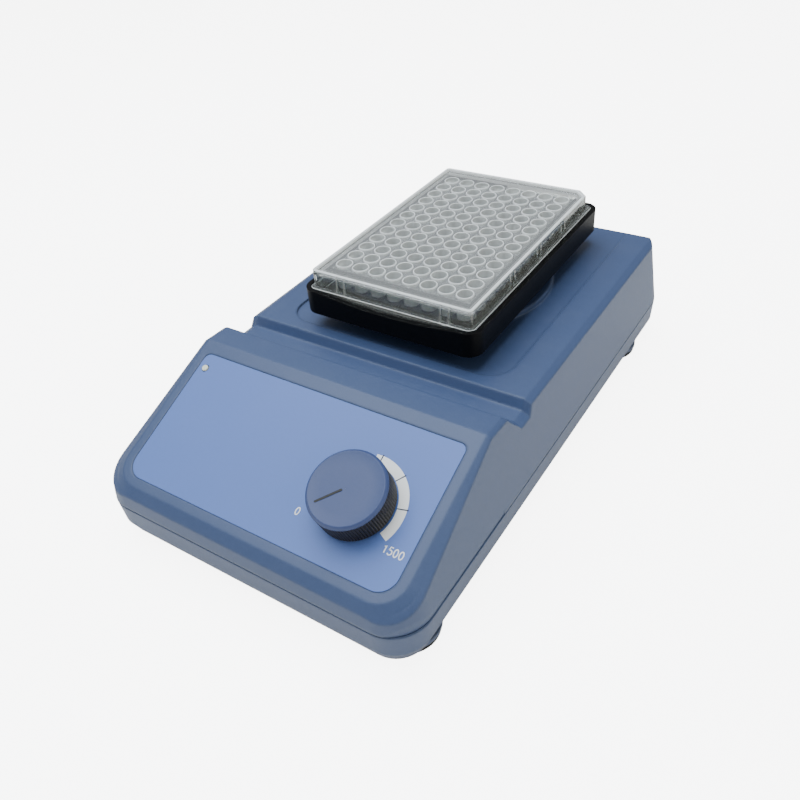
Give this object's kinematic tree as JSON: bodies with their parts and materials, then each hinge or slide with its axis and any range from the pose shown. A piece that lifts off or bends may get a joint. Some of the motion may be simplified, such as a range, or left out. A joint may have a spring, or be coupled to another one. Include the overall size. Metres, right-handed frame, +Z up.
{
  "type": "microplate shaker",
  "caption": "Low bench shaker with a sloping control panel and a round speed knob; a tray circles above the deck and holds a clear multiwell plate.",
  "frame": {"origin": "on the table under the middle of the housing", "axes": "+X to the right seen from the front, +Y to the back, +Z up; the panel faces -Y"},
  "size_m": [0.1576, 0.263, 0.0815],
  "materials": {
    "housing_blue": "fine matt texture, blue",
    "foot_rubber": "matt",
    "tray_black": "fine matt texture, black",
    "mat_rubber": "matt",
    "plate_clear": "clear, polished",
    "overlay_foil": "satin foil",
    "lamp_lens": "diffuse green lens",
    "knob_body": "knurled, matt",
    "knob_cap": "satin",
    "pointer_black": "satin",
    "board_green": "solder mask",
    "part_black": "moulded",
    "screw_steel": "zinc plated",
    "shaft_steel": "ground",
    "sheet_aluminium": "satin",
    "cast_aluminium": "machined",
    "motor_steel": "plated",
    "laminations": "stacked sheets",
    "copper_winding": "varnished copper wire",
    "bronze_bush": "sintered bronze",
    "weight_brass": "turned",
    "crank_plastic": "natural acetal",
    "inlet_black": "moulded",
    "contact_metal": "plated",
    "fuse_glass": "clear tube"
  },
  "bodies": {
    "housing": {"base_housing": "housing_blue", "upper_housing": "housing_blue", "housing_screws": "screw_steel", "rubber_feet": "foot_rubber", "foot_screws": "screw_steel", "panel_overlay": "overlay_foil", "power_lamp": "lamp_lens", "control_board": "board_green", "board_screws": "screw_steel", "board_parts": "part_black", "potentiometer_body": "motor_steel", "potentiometer_nut": "screw_steel", "drive_plate": "sheet_aluminium", "drive_dampers": "foot_rubber", "drive_screws": "screw_steel", "motor_can": "motor_steel", "motor_cap": "motor_steel", "motor_screws": "screw_steel", "motor_bearings": "bronze_bush", "motor_stator": "laminations", "motor_coils": "copper_winding", "idler_bushes": "bronze_bush", "rear_panel": "sheet_aluminium", "mains_inlet": "inlet_black", "inlet_pins": "contact_metal", "inlet_screws": "screw_steel", "switch_frame": "inlet_black", "supply_board": "board_green", "supply_screws": "screw_steel", "supply_parts": "part_black", "transformer_core": "laminations", "transformer_coil": "copper_winding"},
    "knob": {"speed_knob": "knob_body", "knob_cap": "knob_cap", "knob_pointer": "pointer_black", "potentiometer_shaft": "shaft_steel"},
    "spindle": {"motor_rotor": "laminations", "motor_shaft": "shaft_steel", "eccentric_hub": "cast_aluminium", "hub_grub_screw": "screw_steel", "counterweight": "weight_brass", "counterweight_screws": "screw_steel", "bearing_inner_ring": "shaft_steel", "journal_screw": "screw_steel"},
    "platform": {"bearing_outer_ring": "shaft_steel", "platform_carrier": "cast_aluminium", "carrier_bushes": "bronze_bush", "plate_tray": "tray_black", "tray_screws": "screw_steel", "tray_mat": "mat_rubber"},
    "idler_1": {"idler_crank_1": "crank_plastic"},
    "idler_2": {"idler_crank_2": "crank_plastic"},
    "idler_3": {"idler_crank_3": "crank_plastic"},
    "sample_plate": {"microplate": "plate_clear"},
    "rocker": {"switch_rocker": "inlet_black"},
    "drawer": {"fuse_drawer": "inlet_black", "fuse": "fuse_glass"}
  },
  "joints": [
    {"name": "knob_turn", "type": "hinge", "parent": "housing", "child": "knob", "pos_m": [0.0372, -0.09813, 0.04383], "axis": [0, 0.3859, -0.9225], "range_deg": [0, 254.5]},
    {"name": "spindle_turn", "type": "hinge", "parent": "housing", "child": "spindle", "pos_m": [0, 0.047, 0.045], "axis": [0, 0, 1], "continuous": true},
    {"name": "platform_turn", "type": "hinge", "parent": "spindle", "child": "platform", "pos_m": [0.00088, 0.04493, 0.055], "axis": [0, 0, 1], "continuous": true},
    {"name": "plate_lift", "type": "slide", "parent": "platform", "child": "sample_plate", "axis": [0, 0, 1], "range_m": [0, 0.02]},
    {"name": "rocker_tilt", "type": "hinge", "parent": "housing", "child": "rocker", "pos_m": [0.04, 0.1255, 0.0285], "axis": [-1, 0, 0], "range_deg": [0, 18]},
    {"name": "fuse_drawer_slide", "type": "slide", "parent": "housing", "child": "drawer", "axis": [0, 1, 0], "range_m": [0, 0.014]},
    {"name": "idler_1_turn", "type": "hinge", "parent": "housing", "child": "idler_1", "pos_m": [0, 0.078, 0.045], "axis": [0, 0, 1], "continuous": true},
    {"name": "idler_2_turn", "type": "hinge", "parent": "housing", "child": "idler_2", "pos_m": [-0.02685, 0.0315, 0.045], "axis": [0, 0, 1], "continuous": true},
    {"name": "idler_3_turn", "type": "hinge", "parent": "housing", "child": "idler_3", "pos_m": [0.02685, 0.0315, 0.045], "axis": [0, 0, 1], "continuous": true}
  ],
  "couplings": [
    {"joint": "platform_turn", "follows": "spindle_turn", "ratio": -1},
    {"joint": "idler_1_turn", "follows": "spindle_turn", "ratio": 1},
    {"joint": "idler_2_turn", "follows": "spindle_turn", "ratio": 1},
    {"joint": "idler_3_turn", "follows": "spindle_turn", "ratio": 1}
  ]
}
